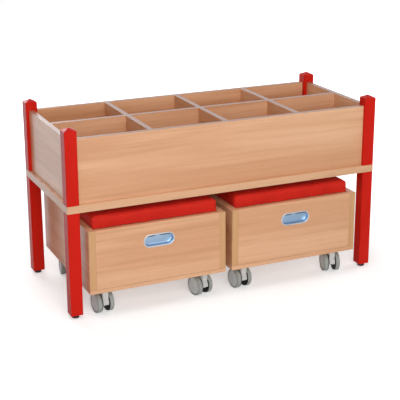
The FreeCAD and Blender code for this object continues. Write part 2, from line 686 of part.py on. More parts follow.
def build_housing(label, x, y, turn):
    """The swivelling hood between the wheels: arch, web, axle boss and neck."""
    body = new_body(label, x, y, "0", turn)
    web = new_sketch(body, "YZ_Plane")
    add_circle(web, "Sizes.caster_trail", AXLE_LEVEL, "2 * %s" % HOOD_RADIUS)
    pad(body, web, "Sizes.hood_web", side="Symmetric")
    arch = new_sketch(body, "YZ_Plane")
    add_circle(arch, "Sizes.caster_trail", AXLE_LEVEL, "2 * %s" % HOOD_RADIUS)
    add_circle(arch, "Sizes.caster_trail", AXLE_LEVEL, "2 * (%s - Sizes.hood_shell)" % HOOD_RADIUS)
    pad(body, arch, "Sizes.hood_width", side="Symmetric")
    half_width = value("Sizes.hood_width / 2")
    radius = value(HOOD_RADIUS)

    def is_arch_edge(box):
        on_side = near(box.XMin, box.XMax) and near(abs(box.XMin), half_width)
        return on_side and near(box.YLength, 2 * radius)

    dress(body, "Chamfer", edges_where(body, is_arch_edge), "Sizes.hood_bevel")
    opening = new_sketch(body, "YZ_Plane")
    ahead = "Sizes.caster_trail - 2 * %s" % HOOD_RADIUS
    behind = "Sizes.caster_trail + 2 * %s" % HOOD_RADIUS
    tail = "%s + 2 * Sizes.hood_tail_rise" % AXLE_LEVEL
    add_outline(opening, [(ahead, "-Sizes.wheel_diameter"), (behind, "-Sizes.wheel_diameter"),
                          (behind, tail), ("Sizes.caster_trail", "Sizes.hood_bottom"),
                          (ahead, "Sizes.hood_bottom")])
    cut(body, opening, "2 * Sizes.hood_width", side="Symmetric")
    boss = new_sketch(body, "YZ_Plane")
    add_circle(boss, "Sizes.caster_trail", AXLE_LEVEL, "Sizes.hub_boss_diameter")
    pad(body, boss, "Sizes.hood_width", side="Symmetric")
    neck = new_sketch(body, "YZ_Plane")
    add_rectangle(neck, "-Sizes.neck_depth / 2", "Sizes.neck_bottom",
                  "Sizes.neck_depth", "%s - Sizes.neck_bottom" % NECK_TOP)
    pad(body, neck, "Sizes.hood_width", side="Symmetric")
    crown = value(NECK_TOP)

    def is_neck_edge(box):
        return near(box.ZMin, crown) and near(box.ZMax, crown) and box.YLength < 0.01

    dress(body, "Chamfer", edges_where(body, is_neck_edge), "Sizes.neck_bevel")
    socket = new_sketch(body, "XY_Plane", NECK_TOP)
    add_circle(socket, "0", "0", "Sizes.pin_diameter + Sizes.swivel_clearance")
    cut(body, socket, "Sizes.pin_reach + Sizes.end_clearance")
    bore = new_sketch(body, "YZ_Plane")
    add_circle(bore, "Sizes.caster_trail", AXLE_LEVEL, "Sizes.axle_diameter + Sizes.axle_clearance")
    cut(body, bore, "2 * Sizes.hood_width", side="Symmetric")
    nodes.append(body)


def build_wheels(label, x, y, turn):
    """A pair of wheels on their axle, which trails the swivel axis. A wheel lies along its own X."""
    inner = "Sizes.wheel_spacing / 2"
    outer = "(Sizes.wheel_spacing / 2 + Sizes.wheel_width)"
    tread = "Sizes.wheel_diameter / 2"
    disc = "Sizes.wheel_diameter / 2 - Sizes.tyre_depth"
    bore = "Sizes.axle_diameter / 2"
    half_axle = "(Sizes.wheel_spacing / 2 + Sizes.axle_grip)"
    profile = [
        (inner, bore),
        (inner, tread),
        (outer + " - Sizes.tread_bevel", tread),
        (outer, tread + " - Sizes.tread_bevel"),
        (outer, disc),
        (outer + " - Sizes.disc_recess", disc + " - Sizes.disc_recess"),
        (outer + " - Sizes.disc_recess", "0"),
        (half_axle, "0"),
        (half_axle, bore),
    ]
    axle_x = "%s - Sizes.caster_trail * sin(%s)" % (x, turn)
    axle_y = "%s + Sizes.caster_trail * cos(%s)" % (y, turn)
    members = []
    for hand, wheel_turn in (("right", turn), ("left", turn + " + 180")):
        body = new_body("%s_%s" % (label, hand), axle_x, axle_y, AXLE_LEVEL, wheel_turn)
        sketch = new_sketch(body, "XZ_Plane")
        add_outline(sketch, profile)
        turned = body.newObject("PartDesign::Revolution", "Turned")
        turned.Profile = sketch
        turned.ReferenceAxis = (sketch, ["H_Axis"])
        turned.Angle = 360
        members.append(body)
    axle = new_body(label + "_axle", axle_x, axle_y, AXLE_LEVEL, turn)
    section = new_sketch(axle, "YZ_Plane")
    add_circle(section, "0", "0", "Sizes.axle_diameter")
    pad(axle, section, "2 * %s" % half_axle, side="Symmetric")
    members.append(axle)
    group(label, members)


# ---------------------------------------------------------------- whole model

build_trough()
for side in ("left", "right"):
    build_box(side)
doc.recompute()

for item in doc.Objects:
    if "Invalid" in item.State or "Error" in item.State:
        raise RuntimeError("%s is not built: %s" % (item.Label, item.State))
for node in nodes:
    if node.Shape.isNull() or not node.Shape.isValid() or not node.Shape.Solids:
        raise RuntimeError("%s has no sound solid" % node.Label)

os.makedirs("parts", exist_ok=True)
for node in nodes:
    node.Shape.exportStep("parts/%s.step" % node.Label)
print("%d nodes, %d solids" % (len(nodes), sum(len(node.Shape.Solids) for node in nodes)))
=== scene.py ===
import json
import math

import bmesh
import bpy
import numpy as np
from mathutils import Euler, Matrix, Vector


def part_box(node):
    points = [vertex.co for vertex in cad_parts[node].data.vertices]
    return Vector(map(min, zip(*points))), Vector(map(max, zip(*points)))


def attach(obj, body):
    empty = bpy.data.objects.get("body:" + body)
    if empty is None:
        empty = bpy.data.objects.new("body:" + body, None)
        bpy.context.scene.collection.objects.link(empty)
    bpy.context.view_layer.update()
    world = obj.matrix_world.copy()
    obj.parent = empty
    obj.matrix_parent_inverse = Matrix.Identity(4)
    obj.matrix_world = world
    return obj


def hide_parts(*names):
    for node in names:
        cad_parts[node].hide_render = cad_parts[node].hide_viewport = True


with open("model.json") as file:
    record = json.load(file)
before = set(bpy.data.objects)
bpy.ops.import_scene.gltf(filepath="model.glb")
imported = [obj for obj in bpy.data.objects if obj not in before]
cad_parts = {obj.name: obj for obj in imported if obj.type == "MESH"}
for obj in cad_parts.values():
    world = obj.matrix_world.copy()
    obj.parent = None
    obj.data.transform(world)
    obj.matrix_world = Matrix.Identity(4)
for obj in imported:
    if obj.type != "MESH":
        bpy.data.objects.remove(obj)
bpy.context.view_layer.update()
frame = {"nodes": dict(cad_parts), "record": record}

record = frame["record"]
bodyOf = {member: body for body, members in record["behaviour"]["bodies"].items() for member in members}
sides = ("left", "right")
corners = ("front_left", "front_right", "back_left", "back_right")
print("stage: frame loaded,", len(frame["nodes"]), "nodes")


# Screen colour, 0 to 255, to the linear value that a shader socket takes.
def paint(red, green, blue):
    screen = np.array([red, green, blue]) / 255
    linear = np.where(screen <= 0.04045, screen / 12.92, ((screen + 0.055) / 1.055) ** 2.4)
    return (*linear.tolist(), 1.0)


# Node helpers. Most return the output that the next one takes.

def newMaterial(name, sockets):
    material = bpy.data.materials.new(name)
    material.use_nodes = True
    tree = material.node_tree
    shader = tree.nodes["Principled BSDF"]
    for socket, amount in sockets.items():
        shader.inputs[socket].default_value = amount
    return material, tree, shader


def addNode(tree, kind, sockets=None, **settings):
    made = tree.nodes.new(kind)
    for key, amount in settings.items():
        setattr(made, key, amount)
    for key, amount in (sockets or {}).items():
        if isinstance(amount, bpy.types.NodeSocket):
            tree.links.new(amount, made.inputs[key])
        else:
            made.inputs[key].default_value = amount
    return made


def objectPlace(tree, scale=(1, 1, 1), start=(0, 0, 0)):
    coordinates = addNode(tree, "ShaderNodeTexCoord").outputs["Object"]
    sockets = {"Vector": coordinates, "Scale": scale, "Location": start}
    return addNode(tree, "ShaderNodeMapping", sockets).outputs["Vector"]


def noise(tree, vector, scale, detail, roughness, distortion=0.0):
    sockets = {"Vector": vector, "Scale": scale, "Detail": detail,
               "Roughness": roughness, "Distortion": distortion}
    return addNode(tree, "ShaderNodeTexNoise", sockets).outputs["Fac"]


def stretchRange(tree, value, low, high, toLow=0.0, toHigh=1.0):
    sockets = {"Value": value, "From Min": low, "From Max": high, "To Min": toLow, "To Max": toHigh}
    return addNode(tree, "ShaderNodeMapRange", sockets, clamp=True).outputs["Result"]


def calculate(tree, operation, first, second):
    return addNode(tree, "ShaderNodeMath", {0: first, 1: second}, operation=operation).outputs[0]


def blendColours(tree, factor, first, second):
    sockets = {0: factor, 6: first, 7: second}
    return addNode(tree, "ShaderNodeMix", sockets, data_type="RGBA").outputs[2]


def relief(tree, shader, height, strength, distance):
    sockets = {"Height": height, "Strength": strength, "Distance": distance}
    bump = addNode(tree, "ShaderNodeBump", sockets)
    tree.links.new(bump.outputs["Normal"], shader.inputs["Normal"])


# The three coordinates of a point of the piece, by the names X, Y and Z.
def objectWays(tree):
    coordinates = addNode(tree, "ShaderNodeTexCoord").outputs["Object"]
    return addNode(tree, "ShaderNodeSeparateXYZ", {"Vector": coordinates}).outputs


# Two screen colours that follow a pattern: the first where it is below low, the second above high.
def twoTone(tree, pattern, low, high, first, second):
    return blendColours(tree, stretchRange(tree, pattern, low, high), paint(*first), paint(*second))


# Roughness that follows a pattern, from a little below the finish's own roughness to a little above it.
def varyGloss(tree, shader, pattern, roughness, swing, low=0.3, high=0.7):
    gloss = stretchRange(tree, pattern, low, high, roughness - swing[0], roughness + swing[1])
    tree.links.new(gloss, shader.inputs["Roughness"])


# In these finishes a Noise entry is the noise's detail, roughness and distortion. A Range entry is the
# stretch of a pattern that shows, and then how strongly it shows at the two ends. A Swing entry is how
# far the roughness goes below and above the finish's own.
beechLook = {
    "pale": (236, 186, 145), "dark": (212, 154, 111), "line": (196, 136, 94), "fleck": (166, 112, 77),
    # The joint and groove tones are painted shadow: a thin dark line in joints and a near-black shadow
    # gap.
    "edge": (222, 176, 122), "edgeDark": (205, 154, 104), "joint": (168, 116, 78), "groove": (52, 34, 24),
    # The top band tone is painted shade: top edges drawn darker because they get little light.
    "paintedTopShade": (160, 122, 94), "plateEdge": (222, 174, 133), "plateEdgeDark": (204, 154, 112),
    "bandAlong": 0.8, "bandAcross": 11.0,       # broad light and dark bands, per metre
    "lineAlong": 1.6, "lineAcross": 52.0,       # lines of growth
    "streakAlong": 4.0, "streakAcross": 240.0,  # fine streaks
    "fleckAlong": 260.0, "fleckAcross": 1900.0,  # short pores
    "bandNoise": (2.0, 0.5, 0.5), "lineNoise": (3.0, 0.6, 0.3),
    "streakNoise": (3.0, 0.6, 0.0), "fleckNoise": (1.0, 0.4, 0.0),
    "bandRange": (0.4, 0.6), "lineRange": (0.48, 0.72, 0.0, 0.42),
    "streakRange": (0.45, 0.8, 0.0, 0.3), "fleckRange": (0.6, 0.72, 0.0, 0.4),
    "roughness": 0.4, "glossSwing": (0.05, 0.07), "coat": 0.5, "coatRoughness": 0.2,
    "reliefStrength": 0.35, "reliefDepth": 0.00004, "stripFade": 0.0002,
}


# Beech board: broad bands, lines of growth and fine streaks drawn out along the board, with short dark
# pores. Each strip (axis, low, high, along, tone) paints what lies between two planes, such as an edge
# band whose grain runs the other way. A strip with no grain of its own is a plain tone, such as a joint's
# painted shadow or a top edge's painted shade. bandShare is how strongly the broad bands show, 0 to 1.
def beechMaterial(name, along, start, strips, bandShare=1.0):
    look = beechLook
    sockets = {"Coat Weight": look["coat"], "Coat Roughness": look["coatRoughness"]}
    material, tree, shader = newMaterial(name, sockets)

    def pattern(direction, kind):
        scale = [look[kind + "Across"]] * 3
        scale["xyz".index(direction)] = look[kind + "Along"]
        return noise(tree, objectPlace(tree, scale, start), 1.0, *look[kind + "Noise"])

    def figure(direction, pale, dark):
        bandShares = (0.5 - bandShare / 2, 0.5 + bandShare / 2)
        light = stretchRange(tree, pattern(direction, "band"), *look["bandRange"], *bandShares)
        tone = blendColours(tree, light, paint(*dark), paint(*pale))
        lines = stretchRange(tree, pattern(direction, "line"), *look["lineRange"])
        tone = blendColours(tree, lines, tone, paint(*look["line"]))
        streaks = pattern(direction, "streak")
        fineLines = stretchRange(tree, streaks, *look["streakRange"])
        return blendColours(tree, fineLines, tone, paint(*look["line"])), streaks

    tone, streaks = figure(along, look["pale"], look["dark"])
    pores = stretchRange(tree, pattern(along, "fleck"), *look["fleckRange"])
    tone = blendColours(tree, pores, tone, paint(*look["fleck"]))
    for axis, low, high, direction, toneName in strips:
        place = objectWays(tree)[axis]
        within = calculate(tree, "MULTIPLY", stretchRange(tree, place, low - look["stripFade"], low),
                           stretchRange(tree, place, high, high + look["stripFade"], 1.0, 0.0))
        stripTone = paint(*look[toneName])
        if direction:
            stripTone = figure(direction, look[toneName], look[toneName + "Dark"])[0]
        tone = blendColours(tree, within, tone, stripTone)
    tree.links.new(tone, shader.inputs["Base Color"])
    varyGloss(tree, shader, streaks, look["roughness"], look["glossSwing"])
    height = calculate(tree, "SUBTRACT", streaks, pores)
    relief(tree, shader, height, look["reliefStrength"], look["reliefDepth"])
    return material


lacquerLook = {
    "body": (213, 37, 25), "deep": (202, 31, 20), "roughness": 0.17, "glossSwing": (0.03, 0.05),
    "specular": 0.07, "grainScale": (260.0, 260.0, 9.0), "grainNoise": (3.0, 0.6),
    "grainRange": (0.55, 0.8, 0.0, 0.25), "cloudScale": (9, 9, 3), "cloudNoise": (2.0, 0.5),
    "cloudRange": (0.3, 0.7), "peelScale": 900.0, "peelNoise": (1.0, 0.5),
    "grainHeight": 0.8, "peelHeight": 0.25, "reliefStrength": 0.4, "reliefDepth": 0.00005,
}


# Red lacquer on solid beech: the wood's lines show faintly through, under a slight orange peel.
def lacquerMaterial(name, start):
    look = lacquerLook
    material, tree, shader = newMaterial(name, {"Specular IOR Level": look["specular"]})
    grain = noise(tree, objectPlace(tree, look["grainScale"], start), 1.0, *look["grainNoise"])
    peel = noise(tree, objectPlace(tree), look["peelScale"], *look["peelNoise"])
    clouds = noise(tree, objectPlace(tree, look["cloudScale"], start), 1.0, *look["cloudNoise"])
    tone = twoTone(tree, clouds, *look["cloudRange"], look["deep"], look["body"])
    lines = stretchRange(tree, grain, *look["grainRange"])
    tone = blendColours(tree, lines, tone, paint(*look["deep"]))
    tree.links.new(tone, shader.inputs["Base Color"])
    varyGloss(tree, shader, clouds, look["roughness"], look["glossSwing"])
    height = calculate(tree, "ADD", calculate(tree, "MULTIPLY", grain, look["grainHeight"]),
                       calculate(tree, "MULTIPLY", peel, look["peelHeight"]))
    relief(tree, shader, height, look["reliefStrength"], look["reliefDepth"])
    return material


coverLook = {
    "body": (212, 38, 22), "deep": (195, 29, 17), "roughness": 0.72, "glossSwing": (0.06, 0.08),
    "sheen": 0.1, "sheenRoughness": 0.45, "sheenTint": (255, 120, 100), "specular": 0.2,
    "threadPitch": 0.0011, "threadWander": 0.15, "wanderScale": 2.0, "hollowShadeRange": (0.4, 1.6, 0.3, 0.0),
    "cloudScale": 14.0, "cloudNoise": (4.0, 0.6), "cloudRange": (0.32, 0.68),
    "reliefStrength": 0.5, "reliefDepth": 0.00012,
}


# Woven cover: threads are three sets of bands, one along each axis, so each face shows two sets crossing.
# The hollows between the threads are painted darker: painted shade.
def coverMaterial(name):
    look = coverLook
    sockets = {"Sheen Weight": look["sheen"], "Sheen Roughness": look["sheenRoughness"],
               "Sheen Tint": paint(*look["sheenTint"]), "Specular IOR Level": look["specular"]}
    material, tree, shader = newMaterial(name, sockets)
    bandScale = math.pi / 10 / look["threadPitch"]  # the texture has 10 / pi bands for a scale of 1
    threads = None
    for axis in ("X", "Y", "Z"):
        sockets = {"Vector": objectPlace(tree), "Scale": bandScale,
                   "Distortion": look["threadWander"], "Detail Scale": look["wanderScale"]}
        wave = addNode(tree, "ShaderNodeTexWave", sockets, wave_type="BANDS", bands_direction=axis)
        band = wave.outputs["Fac"]
        threads = band if threads is None else calculate(tree, "ADD", threads, band)
    clouds = noise(tree, objectPlace(tree), look["cloudScale"], *look["cloudNoise"])
    tone = twoTone(tree, clouds, *look["cloudRange"], look["deep"], look["body"])
    # Painted shade: the deep tone is blended into the hollows between threads.
    hollowShade = stretchRange(tree, threads, *look["hollowShadeRange"])
    tone = blendColours(tree, hollowShade, tone, paint(*look["deep"]))
    tree.links.new(tone, shader.inputs["Base Color"])
    varyGloss(tree, shader, clouds, look["roughness"], look["glossSwing"])
    relief(tree, shader, threads, look["reliefStrength"], look["reliefDepth"])
    return material


mouldedLook = {
    "greyTreadRubber": {"body": (156, 160, 155), "worn": (170, 174, 169), "roughness": 0.58,
                        "grainScale": 1800.0, "reliefDepth": 0.00006, "coat": 0.0},
    "greyDiscPlastic": {"body": (214, 224, 226), "worn": (224, 232, 234), "roughness": 0.42,
                        "grainScale": 900.0, "reliefDepth": 0.00003, "coat": 0.8},
    "paleHoodPlastic": {"body": (206, 207, 205), "worn": (216, 217, 215), "roughness": 0.36,
                        "grainScale": 900.0, "reliefDepth": 0.00003, "coat": 0.0},
    "blackPlastic": {"body": (24, 27, 25), "worn": (44, 47, 44), "roughness": 0.45,
                     "grainScale": 1200.0, "reliefDepth": 0.00004, "coat": 0.0},
    "coatRoughness": 0.25, "glossSwing": (0.06, 0.08), "reliefStrength": 0.5, "grainNoise": (2.0, 0.5),
    "cloudScale": 35.0, "cloudNoise": (4.0, 0.6), "cloudRange": (0.4, 0.75),
}


# Moulded plastic or rubber: a body tone with faint clouds of a worn tone, and a fine moulded grain.
def mouldedMaterial(name):
    shared, look = mouldedLook, mouldedLook[name]
    sockets = {"Coat Weight": look["coat"], "Coat Roughness": shared["coatRoughness"]}
    material, tree, shader = newMaterial(name, sockets)
    clouds = noise(tree, objectPlace(tree), shared["cloudScale"], *shared["cloudNoise"])
    grain = noise(tree, objectPlace(tree), look["grainScale"], *shared["grainNoise"])
    tone = twoTone(tree, clouds, *shared["cloudRange"], look["body"], look["worn"])
    tree.links.new(tone, shader.inputs["Base Color"])
    varyGloss(tree, shader, clouds, look["roughness"], shared["glossSwing"])
    relief(tree, shader, grain, shared["reliefStrength"], look["reliefDepth"])
    return material


brushedLook = {
    "lineScale": (40, 2600, 2600), "lineNoise": (2.0, 0.5), "lineRange": (0.25, 0.75),
    "cloudScale": 60.0, "cloudNoise": (3.0, 0.6), "cloudRange": (0.35, 0.75),
    "glossSwing": (0.07, 0.1), "reliefStrength": 0.25, "reliefDepth": 0.00002,
}


# Brushed metal: fine lines drawn out along X vary the gloss and the relief.
def brushedMaterial(name, body, worn, roughness, tint=None):
    look = brushedLook
    material, tree, shader = newMaterial(name, {"Metallic": 1.0})
    lines = noise(tree, objectPlace(tree, look["lineScale"]), 1.0, *look["lineNoise"])
    clouds = noise(tree, objectPlace(tree), look["cloudScale"], *look["cloudNoise"])
    tone = twoTone(tree, clouds, *look["cloudRange"], body, worn)
    if tint:
        tone = tint(tree, tone)
    tree.links.new(tone, shader.inputs["Base Color"])
    varyGloss(tree, shader, lines, roughness, look["glossSwing"], *look["lineRange"])
    relief(tree, shader, lines, look["reliefStrength"], look["reliefDepth"])
    return material


plywoodLook = {
    "pale": (222, 196, 156), "dark": (198, 166, 122), "glueLine": (150, 116, 80), "roughness": 0.62,
    "layer": 0.0024, "glueRange": (0.9, 0.96, 0.0, 0.6),
    "figureScale": (3, 26, 26), "figureNoise": (4.0, 0.6, 0.4), "figureRange": (0.3, 0.7),
    "reliefStrength": 0.3, "reliefDepth": 0.00008,
}


# Plywood: pale faces with a soft figure, and layers that show as bands down the edges.
def plywoodMaterial(name, start):
    look = plywoodLook
    material, tree, shader = newMaterial(name, {"Roughness": look["roughness"]})
    figure = noise(tree, objectPlace(tree, look["figureScale"], start), 1.0, *look["figureNoise"])
    tone = twoTone(tree, figure, *look["figureRange"], look["pale"], look["dark"])
    layers = calculate(tree, "DIVIDE", objectWays(tree)["Z"], look["layer"])
    glue = stretchRange(tree, calculate(tree, "FRACT", layers, 0.0), *look["glueRange"])
    tone = blendColours(tree, glue, tone, paint(*look["glueLine"]))
    tree.links.new(tone, shader.inputs["Base Color"])
    relief(tree, shader, figure, look["reliefStrength"], look["reliefDepth"])
    return material


pinLook = {"body": (172, 174, 176), "worn": (140, 142, 146), "roughness": 0.38, "arris": 0.0004}

greyRubber = mouldedMaterial("greyTreadRubber")
greyDisc = mouldedMaterial("greyDiscPlastic")
hoodPlastic = mouldedMaterial("paleHoodPlastic")
blackPlastic = mouldedMaterial("blackPlastic")
pinSteel = brushedMaterial("zincPinSteel", pinLook["body"], pinLook["worn"], pinLook["roughness"])
redCover = coverMaterial("redWovenCover")
print("stage: shared finishes made")


meshLook = {
    "weld": 1e-6, "arrisSegments": 2, "arcSteps": 5,           # metres, and counts
    "sharpAngle": 38, "flatAngle": 0.5, "arrisAngle": 30,      # degrees
    "straightTurn": 0.001,                                     # radians
}
tiny = 1e-9  # keeps a division by a length of nothing from failing


def readPoints(mesh):
    points = np.empty(len(mesh.vertices) * 3)
    mesh.vertices.foreach_get("co", points)
    return points.reshape(-1, 3)


# Quads of a grid of points, row after row, whose columns close on themselves.
def ringFaces(rows, columns):
    row, column = np.meshgrid(np.arange(rows - 1), np.arange(columns), indexing="ij")
    following = (column + 1) % columns
    return np.stack([row * columns + column, row * columns + following,
                     (row + 1) * columns + following, (row + 1) * columns + column], -1).reshape(-1, 4)


# Rounds the corners of an open line: corner i is (u, v, radius). The round touches both legs at
# radius times the tangent of half the turn, and its points lie on an arc between them. A corner with no
# radius, or on a straight stretch, stays a single point.
def roundedLine(cornerList, steps=meshLook["arcSteps"]):
    pieces = [np.array(cornerList[0][:2], float)[None]]
    for before, corner, after in zip(cornerList, cornerList[1:], cornerList[2:]):
        here = np.array(corner[:2], float)
        inward = np.array(before[:2]) - here
        outward = np.array(after[:2]) - here
        inward /= np.linalg.norm(inward)
        outward /= np.linalg.norm(outward)
        half = math.acos(np.clip(inward @ outward, -1, 1)) / 2
        radius = corner[2]
        if radius == 0 or abs(half - math.pi / 2) < meshLook["straightTurn"]:
            pieces.append(here[None])
            continue
        middle = inward + outward
        centre = here + middle / np.linalg.norm(middle) * radius / math.sin(half)
        first = here + inward * radius / math.tan(half) - centre
        last = here + outward * radius / math.tan(half) - centre
        sweep = math.pi - 2 * half
        part = np.linspace(0, 1, steps)[:, None]
        arc = (np.sin((1 - part) * sweep) * first + np.sin(part * sweep) * last) / math.sin(sweep)
        pieces.append(centre + arc)
    pieces.append(np.array(cornerList[-1][:2], float)[None])
    return np.concatenate(pieces)


# A new piece from points and faces: doubles merged, faces turned outwards, smooth but for sharp edges.
def newPiece(name, points, faces, material, body, replaced):
    mesh = bpy.data.meshes.new(name)
    mesh.from_pydata(points.reshape(-1, 3).tolist(), [], faces.tolist())
    work = bmesh.new()
    work.from_mesh(mesh)
    bmesh.ops.remove_doubles(work, verts=work.verts, dist=meshLook["weld"])
    bmesh.ops.recalc_face_normals(work, faces=work.faces)
    work.to_mesh(mesh)
    work.free()
    mesh.shade_smooth()
    mesh.set_sharp_from_angle(angle=math.radians(meshLook["sharpAngle"]))
    mesh.materials.append(material)
    piece = bpy.data.objects.new(name, mesh)
    bpy.context.scene.collection.objects.link(piece)
    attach(piece, body)
    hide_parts(*replaced)


# Rigid nodes get their real arrises: a merged copy of the node with its flat faces joined, and then a
# small bevel.
def softenedNode(node, material, width):
    source = frame["nodes"][node].data
    loops = np.empty(len(source.loops), int)
    source.loops.foreach_get("vertex_index", loops)
    mesh = bpy.data.meshes.new(node + "_finish")
    mesh.from_pydata(readPoints(source).tolist(), [], loops.reshape(-1, 3).tolist())
    work = bmesh.new()
    work.from_mesh(mesh)
    bmesh.ops.remove_doubles(work, verts=work.verts, dist=meshLook["weld"])
    flat = math.radians(meshLook["flatAngle"])
    bmesh.ops.dissolve_limit(work, angle_limit=flat, verts=work.verts, edges=work.edges)
    work.to_mesh(mesh)
    work.free()
    mesh.shade_smooth()
    mesh.materials.append(material)
    piece = bpy.data.objects.new(node + "_finish", mesh)
    bpy.context.scene.collection.objects.link(piece)
    bevel = piece.modifiers.new("Arris", "BEVEL")
    bevel.width = width
    bevel.segments = meshLook["arrisSegments"]
    bevel.limit_method = "ANGLE"
    bevel.angle_limit = math.radians(meshLook["arrisAngle"])
    bevel.harden_normals = True
    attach(piece, bodyOf[node])
    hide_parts(node)


# A Start is where a piece's grain starts. A Grain is how far the grain shifts from piece to piece.
troughLook = {
    "boardArris": 0.0008, "postArris": 0.0006, "plateArris": 0.001, "edgeBand": 0.0004,
    "plateBand": 0.0015, "bandShare": 0.8, "boardStart": (0, 0, 0), "boardGrain": (1.7, 0.9, 0.35),
    "plateStart": (5.1, 2.3, 7.7), "postStart": (0.0, 0.0, 0.2), "postGrain": (0.4, 1.3, 0.0),
}


# Where the grain of one piece of a row starts, so that no two pieces are cut from the same stretch.
def grainStart(start, step, number):
    return tuple(place + number * shift for place, shift in zip(start, step))


def dressTrough():
    look = troughLook
    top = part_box("front_board")[1].z
    # Painted shade: each board's top face and its top edge take the darker top band tone.
    strips = [("Z", top - look["edgeBand"], top, None, "paintedTopShade")]
    boards = {"front_board": "x", "back_board": "x", "long_divider": "x", "left_side_board": "y",
              "right_side_board": "y", "cross_divider_left": "y", "cross_divider_middle": "y",
              "cross_divider_right": "y"}
    for index, (node, along) in enumerate(boards.items()):
        start = grainStart(look["boardStart"], look["boardGrain"], index)
        material = beechMaterial("beech_" + node, along, start, strips, look["bandShare"])
        softenedNode(node, material, look["boardArris"])
    low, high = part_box("base_plate")
    band = look["plateBand"]
    edges = [("Y", low.y, "x"), ("Y", high.y, "x"), ("X", low.x, "y"), ("X", high.x, "y")]
    strips = [(axis, place - band, place + band, along, "plateEdge") for axis, place, along in edges]
    plate = beechMaterial("beech_base_plate", "x", look["plateStart"], strips)
    softenedNode("base_plate", plate, look["plateArris"])
    for index, corner in enumerate(corners):
        start = grainStart(look["postStart"], look["postGrain"], index)
        for part in ("post_", "leg_"):
            material = lacquerMaterial("lacquer_" + part + corner, start)
            softenedNode(part + corner, material, look["postArris"])
    assignMaterial("joining_studs", pinSteel)


def assignMaterial(node, material):
    slots = frame["nodes"][node].data.materials
    slots.clear()
    slots.append(material)


glideLook = {
    "soleRound": 0.003, "waistRadius": 0.0115, "waistHeight": 0.009, "waistRound": 0.0008,
    "flangeHeight": 0.011, "spindleRadius": 0.004, "steps": 48,
}


# Levelling glides: each a turned foot with a rounded sole, a waist and its spindle. The profile of
# (radius, height) is turned about the spindle: x = r cos a, y = r sin a.
def makeGlides():
    look = glideLook
    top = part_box("leg_front_left")[0].z
    low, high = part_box("levelling_glides")
    radius = (high.x - low.x - (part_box("leg_front_right")[0].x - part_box("leg_front_left")[0].x)) / 2
    profile = roundedLine([
        (0, 0, 0), (radius, 0, look["soleRound"]), (radius, look["waistHeight"], look["waistRound"]),
        (look["waistRadius"], look["flangeHeight"], look["waistRound"]), (look["waistRadius"], top, 0),
        (look["spindleRadius"], top, 0), (look["spindleRadius"], high.z, 0), (0, high.z, 0)])
    angles = np.linspace(0, 2 * math.pi, look["steps"], endpoint=False)
    rings, faces = [], []
    for index, corner in enumerate(corners):
        legLow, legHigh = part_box("leg_" + corner)
        centreX, centreY = (legLow.x + legHigh.x) / 2, (legLow.y + legHigh.y) / 2
        placesX = centreX + profile[:, :1] * np.cos(angles)
        placesY = centreY + profile[:, :1] * np.sin(angles)
        heights = np.repeat(profile[:, 1:], len(angles), 1)
        rings.append(np.stack([placesX, placesY, heights], -1).reshape(-1, 3))
        faces.append(ringFaces(len(profile), len(angles)) + index * len(profile) * len(angles))
    newPiece("levelling_glide_feet", np.concatenate(rings), np.concatenate(faces), blackPlastic,
             bodyOf["levelling_glides"], ["levelling_glides"])


boxLook = {
    "panelArris": 0.001, "edgeBand": 0.0012, "edgeOver": 0.001, "paintedJointShadow": 0.0004,
    "paintedSideGapShadow": 0.0016, "bandShare": 0.55,
    "boxStart": (0, 0, 0), "boxGrain": (2.9, 0.0, 3.1), "panelGrain": (0.6, 1.1, 0.45),
}


def dressBox(side, index):
    look = boxLook
    panels = {"base_board": "x", "front_panel": "x", "back_panel": "x",
              "left_panel": "y", "right_panel": "y"}
    boxStart = grainStart(look["boxStart"], look["boxGrain"], index)
    for number, (part, along) in enumerate(panels.items()):
        node = "%s_box_%s" % (side, part)
        start = grainStart(boxStart, look["panelGrain"], number)
        low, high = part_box(node)
        # Painted shadow: a thin darker joint line where base and panels meet, and a near-black gap along
        # the foot of the side panels.
        if part == "base_board":
            strips = [("Z", high.z - look["paintedJointShadow"], high.z, None, "joint")]
        elif part in ("front_panel", "back_panel"):
            strips = [("Z", low.z, low.z + look["paintedJointShadow"], None, "joint")]
        else:
            strips = [("Z", low.z, low.z + look["paintedSideGapShadow"], None, "groove")]
            strips += [("Y", low.y - look["edgeOver"], low.y + look["edgeBand"], "z", "edge"),
                       ("Y", high.y - look["edgeBand"], high.y + look["edgeOver"], "z", "edge")]
        material = beechMaterial("beech_" + node, along, start, strips, look["bandShare"])
        softenedNode(node, material, look["panelArris"])
    board = plywoodMaterial(side + "_seat_plywood", (index, 0, 0))
    for node in ("_seat_board", "_seat_battens"):
        assignMaterial(side + node, board)
    softenedNode(side + "_caster_pins", pinSteel, pinLook["arris"])


# Handle shell: a pressed cup with a rolled flange.
handleLook = {
    "flangeWidth": 0.004, "flangeRound": 0.0012, "lipRound": 0.0014, "floorRound": 0.005, "wall": 0.001,
    "floorDish": 0.0008, "dishShare": 0.5, "dishRound": 0.01, "endSteps": 28, "arcSteps": 7,
    "metal": (226, 228, 230), "worn": (212, 217, 222), "cup": (176, 205, 231), "paintedLipShade": (44, 72, 92),
    "roughness": 0.42, "cupFade": 0.002, "shadeHeight": 0.0145, "shadeSoft": 0.0015,
    "shadeFrom": 0.005, "shadeTo": 0.015, "shadeShare": 0.95,
}
